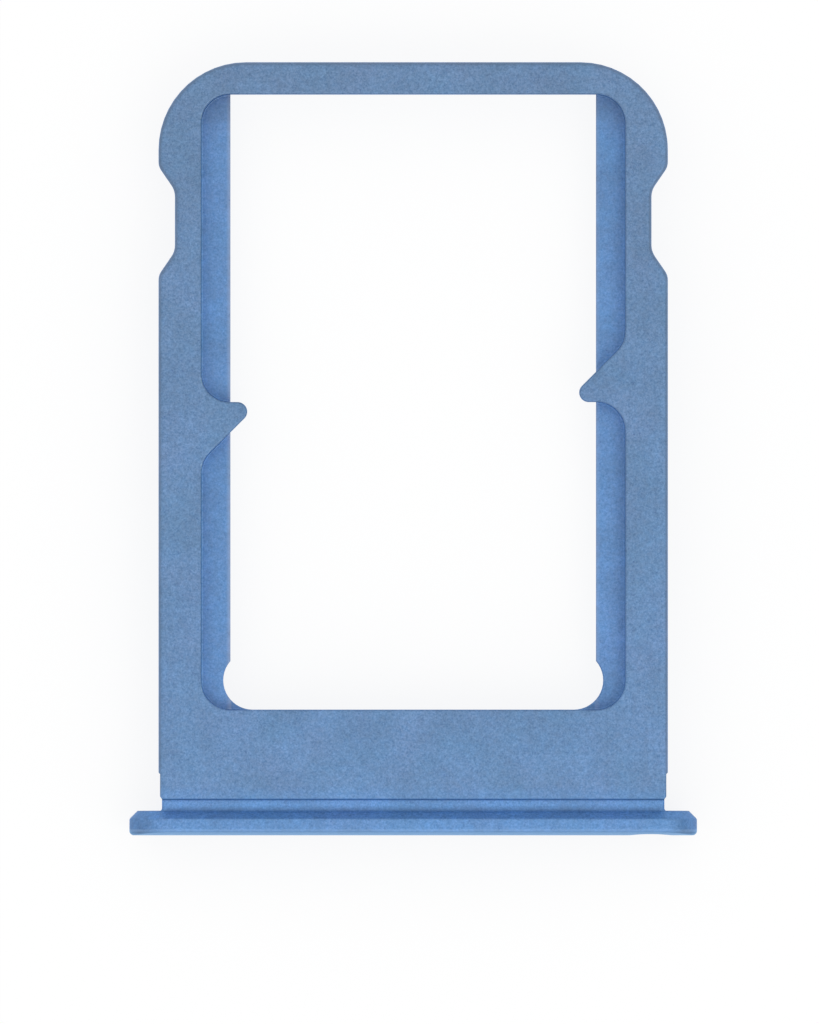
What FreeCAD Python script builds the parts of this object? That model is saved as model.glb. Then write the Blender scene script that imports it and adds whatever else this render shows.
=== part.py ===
import FreeCAD, Part
import math
import os

from FreeCAD import Vector

# Tray for two nano SIM cards, milled from one piece of aluminium.
#
# The tray lies in its own frame: X runs across it, Y from the face of the head plate
# into the phone, and Z up out of the card pockets. The origin is in the middle of the
# tray's box, at its lowest level. All sizes are in millimetres.

# Cards: a nano SIM lies with its long side across the tray
CARD_LENGTH = 12.30
CARD_WIDTH = 8.80
CARD_THICKNESS = 0.67
CARD_KEY_CUT = 1.65

# Clearances of a card in its bay
PLAY_ALONG_CARD = 0.12
PLAY_ACROSS_CARD = 0.215
HEADROOM_OVER_CARD = 0.05
KEY_CLEARANCE = 0.09

# Frame round the two bays
RAIL_WIDTH = 1.25
FAR_BAR_WIDTH = 0.94
NEAR_BAR_WIDTH = 2.64
LEDGE_WIDTH = 0.85
LEDGE_THICKNESS = 0.38
FAR_CORNER_RADIUS = 2.56
BAY_CORNER_RADIUS = 0.84
TAB_TIP_RADIUS = 0.28

# Edges of the frame: along its sides and far end, beside the neck, at the mouth and the
# floor of the bays, at the window's rim on the ledges, and on the underside
OUTER_EDGE_RADIUS = 0.14
NEAR_END_EDGE_RADIUS = 0.05
MOUTH_EDGE_RADIUS = 0.06
FLOOR_EDGE_RADIUS = 0.04
RIM_EDGE_RADIUS = 0.03
UNDERSIDE_EDGE_BREAK = 0.05

# Round reliefs in the near corners of the window
RELIEF_RADIUS = 0.86
RELIEF_OVERCUT = 0.21

# Detent notch in each rail, where a spring holds the tray home
NOTCH_FROM_FAR_END = 4.65
NOTCH_DEPTH = 0.48
NOTCH_FLOOR_LENGTH = 1.78
NOTCH_FLANK_LENGTH = 0.70
NOTCH_LIP_RADIUS = 0.45
NOTCH_FLOOR_RADIUS = 0.60

# Eased last stretch of the frame, next to the neck
EASED_LENGTH = 0.80
EASED_DEPTH = 0.045
END_CORNER_ACROSS = 0.07
END_CORNER_ALONG = 0.10

# Neck between the frame and the head plate
NECK_LENGTH = 0.33
NECK_INSET = 0.10
NECK_DROP = 0.13
NECK_FILLET = 0.09
NECK_EDGE_RADIUS = 0.08
NECK_ROOT_RADIUS = 0.25

# Head plate that closes the slot in the phone's side
HEAD_OVERHANG = 0.86
HEAD_HEIGHT = 2.224
HEAD_THICKNESS = 0.715
HEAD_CROWN_RADIUS = 5.20
HEAD_BACK_CHAMFER = 0.235
HEAD_BACK_EDGE_RADIUS = 0.08
HEAD_FRONT_RADIUS = 0.13
FRAME_TOP_UNDER_HEAD_TOP = 0.162

# Eject hole through the head, and the wider channel behind it under the right rail,
# which stands further out and down than the hole so that the bay keeps its wall
EJECT_HOLE_RADIUS = 0.64
EJECT_HOLE_FROM_SIDE = 0.50
CHANNEL_CLEARANCE = 0.16
CHANNEL_OUTWARDS = 0.11
CHANNEL_DOWNWARDS = 0.11

# Extra reach of a cutting tool past the metal that it cuts
OVERRUN = 1.0

# Places along Y, from the face of the head
NECK_START = HEAD_THICKNESS
FRAME_START = NECK_START + NECK_LENGTH
BAY_WIDTH = CARD_WIDTH + PLAY_ACROSS_CARD
NEAR_BAY_START = FRAME_START + NEAR_BAR_WIDTH
FAR_BAY_START = NEAR_BAY_START + BAY_WIDTH
BAYS_END = FAR_BAY_START + BAY_WIDTH
FRAME_END = BAYS_END + FAR_BAR_WIDTH
NOTCH_CENTRE = FRAME_END - NOTCH_FROM_FAR_END

# Places across X, from the middle
BAY_HALF = (CARD_LENGTH + PLAY_ALONG_CARD) / 2
FRAME_HALF = BAY_HALF + RAIL_WIDTH
WINDOW_HALF = BAY_HALF - LEDGE_WIDTH
HEAD_HALF = FRAME_HALF + HEAD_OVERHANG
EJECT_HOLE_X = FRAME_HALF - EJECT_HOLE_FROM_SIDE

# Heights along Z, from the lowest level, which is the underside of the head
HEAD_RADIUS = HEAD_HEIGHT / 2
FRAME_TOP = HEAD_HEIGHT - FRAME_TOP_UNDER_HEAD_TOP
LEDGE_TOP = FRAME_TOP - CARD_THICKNESS - HEADROOM_OVER_CARD
FRAME_BOTTOM = LEDGE_TOP - LEDGE_THICKNESS

# The origin is half way along the whole tray
MIDDLE_Y = FRAME_END / 2

TOLERANCE = 1e-6


def rounded_wire(corners, height):
    """Closed flat wire through corners (x, y, radius), each rounded by a tangent arc."""
    legs = []
    for index, (x, y, radius) in enumerate(corners):
        corner = Vector(x, y, height)
        before = corners[index - 1]
        after = corners[(index + 1) % len(corners)]
        back = (Vector(before[0], before[1], height) - corner).normalize()
        ahead = (Vector(after[0], after[1], height) - corner).normalize()
        half_angle = back.getAngle(ahead) / 2
        reach = radius / math.tan(half_angle)
        inwards = (back + ahead).normalize()
        middle = corner + inwards * (radius / math.sin(half_angle) - radius)
        legs.append((corner + back * reach, middle, corner + ahead * reach))

    edges = []
    for index, (start, middle, end) in enumerate(legs):
        next_start = legs[(index + 1) % len(legs)][0]
        if start.distanceToPoint(end) > TOLERANCE:
            edges.append(Part.Arc(start, middle, end).toShape())
        if end.distanceToPoint(next_start) > TOLERANCE:
            edges.append(Part.LineSegment(end, next_start).toShape())
    return Part.Wire(edges)


def prism(corners, bottom, top):
    """Upright solid over a rounded outline, between two heights."""
    face = Part.Face(rounded_wire(corners, bottom))
    return face.extrude(Vector(0, 0, top - bottom))


def box(low, high):
    """Plain block between two corners."""
    size = Vector(*high) - Vector(*low)
    return Part.makeBox(size.x, size.y, size.z, Vector(*low))


def mirrored(corners):
    """The same corners on the left side, in the order that closes the outline."""
    return [(-x, y, radius) for x, y, radius in reversed(corners)]


def edges_at(shape, height):
    """Edges that lie whole in the level plane at this height."""
    return [
        edge
        for edge in shape.Edges
        if abs(edge.BoundBox.ZMin - height) < TOLERANCE
        and abs(edge.BoundBox.ZMax - height) < TOLERANCE
    ]


def frame_outline():
    """Outline of the frame from above, with its detent notches and eased end."""
    eased_half = FRAME_HALF - EASED_DEPTH
    eased_end = FRAME_START + EASED_LENGTH
    floor_half = NOTCH_FLOOR_LENGTH / 2
    lip_half = floor_half + NOTCH_FLANK_LENGTH
    floor_x = FRAME_HALF - NOTCH_DEPTH
    right = [
        (eased_half - END_CORNER_ACROSS, FRAME_START, 0),
        (eased_half, FRAME_START + END_CORNER_ALONG, 0),
        (eased_half, eased_end - EASED_DEPTH, 0),
        (FRAME_HALF, eased_end, 0),
        (FRAME_HALF, NOTCH_CENTRE - lip_half, NOTCH_LIP_RADIUS),
        (floor_x, NOTCH_CENTRE - floor_half, NOTCH_FLOOR_RADIUS),
        (floor_x, NOTCH_CENTRE + floor_half, NOTCH_FLOOR_RADIUS),
        (FRAME_HALF, NOTCH_CENTRE + lip_half, NOTCH_LIP_RADIUS),
        (FRAME_HALF, FRAME_END, FAR_CORNER_RADIUS),
    ]
    return right + mirrored(right)


def bays_outline():
    """Outline of both bays, with the pointed tab between them on each side.

    Each tab ends one bay square and cuts the other bay's corner at 45 degrees, where the
    card has its key corner. The right tab keys the far bay, and the left one the near bay.
    """
    key_leg = CARD_KEY_CUT + KEY_CLEARANCE
    right = [
        (BAY_HALF, NEAR_BAY_START, BAY_CORNER_RADIUS),
        (BAY_HALF, FAR_BAY_START, BAY_CORNER_RADIUS),
        (BAY_HALF - key_leg, FAR_BAY_START, TAB_TIP_RADIUS),
        (BAY_HALF, FAR_BAY_START + key_leg, BAY_CORNER_RADIUS),
        (BAY_HALF, BAYS_END, BAY_CORNER_RADIUS),
    ]
    left = [
        (-BAY_HALF, BAYS_END, BAY_CORNER_RADIUS),
        (-BAY_HALF, FAR_BAY_START, BAY_CORNER_RADIUS),
        (key_leg - BAY_HALF, FAR_BAY_START, TAB_TIP_RADIUS),
        (-BAY_HALF, FAR_BAY_START - key_leg, BAY_CORNER_RADIUS),
        (-BAY_HALF, NEAR_BAY_START, BAY_CORNER_RADIUS),
    ]
    return right + left


def frame_blank():
    """Flat frame with no pocket yet, rounded along its top and broken along its underside.

    The last stretch beside the neck is crisper than the sides and the far end.
    """
    blank = prism(frame_outline(), FRAME_BOTTOM, FRAME_TOP)
    blank = blank.makeChamfer(UNDERSIDE_EDGE_BREAK, edges_at(blank, FRAME_BOTTOM))
    eased_end = FRAME_START + EASED_LENGTH
    sides = [
        edge for edge in edges_at(blank, FRAME_TOP) if edge.BoundBox.YMax > eased_end + TOLERANCE
    ]
    blank = blank.makeFillet(OUTER_EDGE_RADIUS, sides)
    near_end = [
        edge
        for edge in edges_at(blank, FRAME_TOP)
        if edge.BoundBox.YMax < eased_end + OUTER_EDGE_RADIUS
    ]
    return blank.makeFillet(NEAR_END_EDGE_RADIUS, near_end)


def bays():
    """Room for the two cards, from the ledges up and out of the top."""
    return prism(bays_outline(), LEDGE_TOP, FRAME_TOP + OVERRUN)


def opening_section(axis_x, y, half):
    """Half section of an opening through the ledge, from its axis out, with a rounded rim."""
    low = FRAME_BOTTOM - OVERRUN
    high = FRAME_TOP + OVERRUN
    wall_x = axis_x + half
    rim_z = LEDGE_TOP - RIM_EDGE_RADIUS
    slant = RIM_EDGE_RADIUS * math.sqrt(0.5)
    middle = Vector(wall_x + RIM_EDGE_RADIUS - slant, y, rim_z + slant)
    wall_foot = Vector(wall_x, y, low)
    wall_top = Vector(wall_x, y, rim_z)
    rim = Vector(wall_x + RIM_EDGE_RADIUS, y, LEDGE_TOP)
    outer_top = Vector(wall_x + RIM_EDGE_RADIUS, y, high)
    axis_top = Vector(axis_x, y, high)
    axis_foot = Vector(axis_x, y, low)
    outline = Part.Wire([
        Part.LineSegment(axis_foot, wall_foot).toShape(),
        Part.LineSegment(wall_foot, wall_top).toShape(),
        Part.Arc(wall_top, middle, rim).toShape(),
        Part.LineSegment(rim, outer_top).toShape(),
        Part.LineSegment(outer_top, axis_top).toShape(),
        Part.LineSegment(axis_top, axis_foot).toShape(),
    ])
    return Part.Face(outline)


def window():
    """Opening right through the frame between the ledges, round the tabs."""
    low = FRAME_BOTTOM - OVERRUN
    high = FRAME_TOP + OVERRUN
    relief_x = WINDOW_HALF + RELIEF_OVERCUT - RELIEF_RADIUS
    relief_y = NEAR_BAY_START + RELIEF_RADIUS
    half_opening = opening_section(0, relief_y, WINDOW_HALF)
    half_opening = half_opening.extrude(Vector(0, BAYS_END - relief_y, 0))
    half_middle = box((0, NEAR_BAY_START, low), (relief_x, BAYS_END, high))
    relief = opening_section(relief_x, relief_y, RELIEF_RADIUS)
    relief = relief.revolve(Vector(relief_x, relief_y, 0), Vector(0, 0, 1), 360)
    right = half_opening.fuse([half_middle, relief])
    left = right.mirror(Vector(0, 0, 0), Vector(1, 0, 0))
    inside = prism(bays_outline(), low, high)
    return right.fuse(left).removeSplitter().common(inside)


def bay_edges(shape, height):
    """Edges of the bays' outline at this height."""
    return [
        edge
        for edge in edges_at(shape, height)
        if edge.BoundBox.XMax < BAY_HALF + TOLERANCE
        and edge.BoundBox.XMin > -BAY_HALF - TOLERANCE
        and edge.BoundBox.YMin > NEAR_BAY_START - TOLERANCE
        and edge.BoundBox.YMax < BAYS_END + TOLERANCE
    ]


def frame():
    """Frame with its bays, ledges and window, and their edges eased."""
    pocketed = frame_blank().cut(bays())
    pocketed = pocketed.makeFillet(MOUTH_EDGE_RADIUS, bay_edges(pocketed, FRAME_TOP))
    pocketed = pocketed.makeFillet(FLOOR_EDGE_RADIUS, bay_edges(pocketed, LEDGE_TOP))
    opened = pocketed.cut(window())
    return opened.makeChamfer(UNDERSIDE_EDGE_BREAK, bay_edges(opened, FRAME_BOTTOM))


def neck():
    """Narrower stretch that joins the frame to the head plate, relieved all round."""
    half = FRAME_HALF - NECK_INSET
    root_half = half + 2 * NECK_FILLET
    bottom = FRAME_BOTTOM + NECK_INSET
    top = FRAME_TOP - NECK_DROP
    right = [
        (root_half, NECK_START - HEAD_BACK_CHAMFER, 0),
        (root_half, NECK_START, 0),
        (half, NECK_START, NECK_FILLET),
        (half, FRAME_START + EASED_LENGTH, 0),
    ]
    block = prism(right + mirrored(right), bottom, top)
    long_edges = [
        edge
        for edge in edges_at(block, bottom) + edges_at(block, top)
        if edge.BoundBox.XLength < TOLERANCE and edge.BoundBox.YMax > FRAME_START
    ]
    return block.makeFillet(NECK_EDGE_RADIUS, long_edges)


def neck_root():
    """Hollow fillet that runs from the top of the neck up the head's back chamfer."""
    foot_z = FRAME_TOP - NECK_DROP
    foot_y = HEAD_THICKNESS - HEAD_BACK_CHAMFER + HEAD_HEIGHT - foot_z
    reach = NECK_ROOT_RADIUS * math.tan(math.pi / 8)
    half = min(FRAME_HALF - NECK_INSET - NECK_EDGE_RADIUS, HEAD_HALF - HEAD_RADIUS)
    slant = reach * math.sqrt(0.5)
    foot = Vector(-half, foot_y, foot_z)
    start = Vector(-half, foot_y + reach, foot_z)
    end = Vector(-half, foot_y - slant, foot_z + slant)
    centre = Vector(-half, foot_y + reach, foot_z + NECK_ROOT_RADIUS)
    middle = centre + (foot - centre).normalize() * NECK_ROOT_RADIUS
    inner = Vector(-half, end.y, foot_z - NECK_INSET)
    outer = Vector(-half, start.y, foot_z - NECK_INSET)
    section = Part.Wire([
        Part.Arc(start, middle, end).toShape(),
        Part.LineSegment(end, inner).toShape(),
        Part.LineSegment(inner, outer).toShape(),
        Part.LineSegment(outer, start).toShape(),
    ])
    return Part.Face(section).extrude(Vector(2 * half, 0, 0))


def head():
    """Head plate: round-ended, crowned from top to bottom, and chamfered at its back."""
    straight_half = HEAD_HALF - HEAD_RADIUS
    lower_right = Vector(straight_half, 0, 0)
    upper_right = Vector(straight_half, 0, HEAD_HEIGHT)
    upper_left = Vector(-straight_half, 0, HEAD_HEIGHT)
    lower_left = Vector(-straight_half, 0, 0)
    right_end = Vector(HEAD_HALF, 0, HEAD_RADIUS)
    left_end = Vector(-HEAD_HALF, 0, HEAD_RADIUS)
    outline = Part.Wire([
        Part.Arc(lower_right, right_end, upper_right).toShape(),
        Part.LineSegment(upper_right, upper_left).toShape(),
        Part.Arc(upper_left, left_end, lower_left).toShape(),
        Part.LineSegment(lower_left, lower_right).toShape(),
    ])
    plate = Part.Face(outline).extrude(Vector(0, HEAD_THICKNESS, 0))
    back = [edge for edge in plate.Edges if edge.BoundBox.YMin > HEAD_THICKNESS - TOLERANCE]
    plate = plate.makeChamfer(HEAD_BACK_CHAMFER, back)
    side_end = HEAD_THICKNESS - HEAD_BACK_CHAMFER
    shoulder = [
        edge
        for edge in plate.Edges
        if abs(edge.BoundBox.YMin - side_end) < TOLERANCE
        and abs(edge.BoundBox.YMax - side_end) < TOLERANCE
    ]
    plate = plate.makeFillet(HEAD_BACK_EDGE_RADIUS, shoulder)

    reach = HEAD_HALF + OVERRUN
    crown = Part.makeCylinder(
        HEAD_CROWN_RADIUS,
        2 * reach,
        Vector(-reach, HEAD_CROWN_RADIUS, HEAD_RADIUS),
        Vector(1, 0, 0),
    )
    crowned = plate.common(crown)
    crown_edge_y = HEAD_CROWN_RADIUS - math.sqrt(HEAD_CROWN_RADIUS**2 - HEAD_RADIUS**2)
    front = [edge for edge in crowned.Edges if edge.BoundBox.YMax < crown_edge_y + TOLERANCE]
    return crowned.makeFillet(HEAD_FRONT_RADIUS, front)


def eject_hole():
    """Round hole through the head plate for the eject pin."""
    start = Vector(EJECT_HOLE_X, -OVERRUN, HEAD_RADIUS)
    length = OVERRUN + HEAD_THICKNESS
    return Part.makeCylinder(EJECT_HOLE_RADIUS, length, start, Vector(0, 1, 0))


def ejector_channel():
    """Round-bottomed channel under the right rail, clear of the hole from end to end."""
    start = Vector(
        EJECT_HOLE_X + CHANNEL_OUTWARDS, HEAD_THICKNESS, HEAD_RADIUS - CHANNEL_DOWNWARDS
    )
    radius = EJECT_HOLE_RADIUS + CHANNEL_CLEARANCE
    length = FRAME_END - HEAD_THICKNESS + OVERRUN
    return Part.makeCylinder(radius, length, start, Vector(0, 1, 0))


def card_tray():
    """The whole tray in one piece."""
    body = head().fuse([neck(), neck_root(), frame()]).removeSplitter()
    body = body.cut([eject_hole(), ejector_channel()])
    body.translate(Vector(0, -MIDDLE_Y, 0))
    return body


def main():
    os.makedirs("parts", exist_ok=True)
    tray = card_tray()
    tray.exportStep("parts/card_tray.step")
    print("card_tray", tray.ShapeType, "valid", tray.isValid(), "solids", len(tray.Solids))
    print("faces", len(tray.Faces), "volume", round(tray.Volume, 4))
    limits = tray.optimalBoundingBox(False, False)
    print("size", round(limits.XLength, 3), round(limits.YLength, 3), round(limits.ZLength, 3))


main()
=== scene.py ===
import math

import bpy
from bpy.props import FloatProperty, FloatVectorProperty, PointerProperty
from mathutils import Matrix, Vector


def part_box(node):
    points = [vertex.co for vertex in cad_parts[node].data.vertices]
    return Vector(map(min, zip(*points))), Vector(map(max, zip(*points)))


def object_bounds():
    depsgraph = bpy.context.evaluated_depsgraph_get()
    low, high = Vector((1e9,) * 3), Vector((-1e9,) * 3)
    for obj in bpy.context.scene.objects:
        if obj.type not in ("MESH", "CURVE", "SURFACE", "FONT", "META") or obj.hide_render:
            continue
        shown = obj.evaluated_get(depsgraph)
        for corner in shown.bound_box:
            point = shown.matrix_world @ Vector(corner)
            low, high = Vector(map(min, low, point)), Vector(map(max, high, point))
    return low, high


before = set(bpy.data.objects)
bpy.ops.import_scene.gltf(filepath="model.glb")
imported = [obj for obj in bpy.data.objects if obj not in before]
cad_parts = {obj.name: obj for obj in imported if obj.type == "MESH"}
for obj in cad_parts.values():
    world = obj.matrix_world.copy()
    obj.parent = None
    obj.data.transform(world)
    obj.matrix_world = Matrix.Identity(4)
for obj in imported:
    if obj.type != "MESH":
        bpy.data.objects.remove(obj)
cad_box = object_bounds()

# Looks of the card tray: bead-blasted and anodised aluminium, seen from straight above.
#
# The tray lies as it does in its own frame, in metres: X across, Y from the head plate to
# the far end, Z up out of the card pockets.

bl_info = {
    "name": "SIM card tray looks",
    "version": (1, 0, 0),
    "blender": (4, 5, 0),
    "location": "3D View > Sidebar > Card tray",
    "description": "Anodised finish of the card tray, and the studio that it is shown in",
    "category": "Object",
}

TRAY = "card_tray"

MM = 0.001

# The photograph's frame, and the tray's place in it
FRAME_WIDTH_PX = 819
FRAME_HEIGHT_PX = 1024
PX_PER_MM = 34.14
MIDLINE_X_PX = 413.2
HEAD_FACE_Y_PX = 835.6

# Places on the tray that its finish follows: heights under the top of the head, lengths
# from the face of the head, and widths from the midline
FRAME_TOP_UNDER_HEAD_TOP = 0.162 * MM
LEDGE_UNDER_HEAD_TOP = 0.882 * MM
NECK_START = 0.715 * MM
FRAME_START = 1.045 * MM
BAYS_START = 3.685 * MM
BAYS_END = 21.715 * MM
BAY_HALF = 6.21 * MM
WINDOW_HALF = 5.36 * MM
HEAD_ROUND_START = 7.50 * MM
END_CORNER = FRAME_START + 0.018 * MM

# Soft borders of the areas that the finish tells apart, each from where it begins to
# where it ends, first those on the frame's top
FRAME_TOP_BORDER = (FRAME_TOP_UNDER_HEAD_TOP + 0.13 * MM, FRAME_TOP_UNDER_HEAD_TOP + 0.05 * MM)
FRAME_NEAR_BORDER = (FRAME_START - 0.04 * MM, FRAME_START + 0.05 * MM)
NEAR_END_BORDER = (FRAME_START + 0.10 * MM, FRAME_START + 0.50 * MM)
RAIL_BORDER = (BAY_HALF + 0.15 * MM, BAY_HALF + 0.30 * MM)
FAR_BAR_BORDER = (BAYS_END + 0.15 * MM, BAYS_END + 0.30 * MM)

# Borders in the bays
LEDGE_WALL_BORDER = (LEDGE_UNDER_HEAD_TOP - 0.25 * MM, LEDGE_UNDER_HEAD_TOP - 0.05 * MM)
UNDER_LEDGE_BORDER = (LEDGE_UNDER_HEAD_TOP + 0.02 * MM, LEDGE_UNDER_HEAD_TOP + 0.06 * MM)
BAY_SIDE_BORDER = (BAY_HALF + 0.01 * MM, BAY_HALF + 0.04 * MM)
BAY_ENDS = (BAYS_START - 0.01 * MM, BAYS_END + 0.01 * MM)
BAY_END_SOFTNESS = 0.03 * MM
# Spans of the painted shade on the ledges by the bays' walls
NEAR_WALL_SHADE = (BAYS_START, BAYS_START + 0.45 * MM)
FAR_WALL_SHADE = (BAYS_END - 1.30 * MM, BAYS_END - 0.25 * MM)
SIDE_WALL_SHADE = (BAY_HALF - 0.50 * MM, BAY_HALF - 0.20 * MM)
RUBBED_RIM = (WINDOW_HALF, WINDOW_HALF + 0.15 * MM)
WINDOW_BORDER = (WINDOW_HALF - 0.04 * MM, WINDOW_HALF - 0.02 * MM)
SIDE_WALL = (BAY_HALF - 0.025 * MM, BAY_HALF + 0.012 * MM)
SIDE_WALL_SOFTNESS = 0.012 * MM
STRAIGHT_WALL = (BAYS_START + 0.60 * MM, BAYS_END - 0.60 * MM)
STRAIGHT_WALL_SOFTNESS = 0.30 * MM
LEFT_BORDER = (-1.0 * MM, 0.0)

# Borders on the neck
NECK_BORDER = (NECK_START - 0.03 * MM, NECK_START)
NECK_END_BORDER = (FRAME_START - 0.03 * MM, FRAME_START)
# Spans of the painted shade on the neck at the foot of the head's chamfer
NECK_RISE = (NECK_START, NECK_START + 0.22 * MM)
NECK_FOOT = (NECK_START + 0.02 * MM, NECK_START + 0.24 * MM)
END_CORNER_WIDTH = (0.01 * MM, 0.045 * MM)

# Borders on the head
HEAD_BACK_BORDER = (NECK_START, NECK_START + 0.05 * MM)
HEAD_END_WIDTH = 0.30 * MM
FACE_BORDER = (0.10 * MM, 0.14 * MM)
FACE_EDGE = (0.13 * MM, 0.16 * MM)
FACE_EDGE_SOFTNESS = 0.04 * MM
HAZE_BORDER = (0.15 * MM, 0.21 * MM)
FACE_SHADING = (0.0, 0.95)

# Upright part of the surface's normal, from a level to a steep face
STEEP_BORDER = (0.97, 0.65)
SLOPING_BORDER = (0.985, 0.93)

# Tones of the finish, as factors of its colour; those by the bays' walls and on the neck are
# painted shade
NEAR_WALL_PAINTED_SHADE = 0.86
FAR_WALL_PAINTED_SHADE = 0.78
SIDE_WALL_PAINTED_SHADE = 0.96
LEDGE_TONE = 0.98
NECK_PAINTED_SHADE_TONES = (0.82, 1.08)
MOTTLE_TONES = (0.90, 1.10)
CLOUD_TONES = (0.86, 1.14)
FADE_TONES = (1.025, 0.955)
DRIFT_SPAN = (0.50, 0.0, 0.06)
DRIFT_LOW = (0.75, 1.0, 0.97)

# Stretches of each noise that make its marks
GRAIN_STRETCH = (0.25, 0.75)
ROUGH_STRETCH = (0.3, 0.7)
MOTTLE_STRETCH = (0.3, 0.7)
CLOUD_STRETCH = (0.2, 0.8)
PIT_STRETCH = (0.04, 0.15)
PITTED_STRETCH = (0.35, 0.55)
STROKE_STRETCH = (0.0, 0.035)
BREAK_STRETCH = (0.50, 0.58)
NOISE_MIDDLE = 0.5
NOISE_ROUGHNESS = 0.6

# Size of the noise that breaks the strokes, against their own
BREAK_SIZE = 1.6

# Studio walls, as sines of the angle above the horizon
BACKDROP_BORDER = (0.03, 0.08)
CEILING_BORDER = (0.20, 0.60)

# Corners of the round floor
FLOOR_CORNERS = 96

# Middles of the two soft lamps in front of the head, one high and one low
HIGH_LAMP_PLACE = (0.15, -0.16, 0.34)
LOW_LAMP_PLACE = (0.04, -0.37, 0.17)

# Nearest and farthest distance that the camera shows
CLIPPING = (0.001, 10.0)

# Spacing of a chain of nodes in the editor, along and down
NODE_STEP = 180
NODE_DROP = 60


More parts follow.
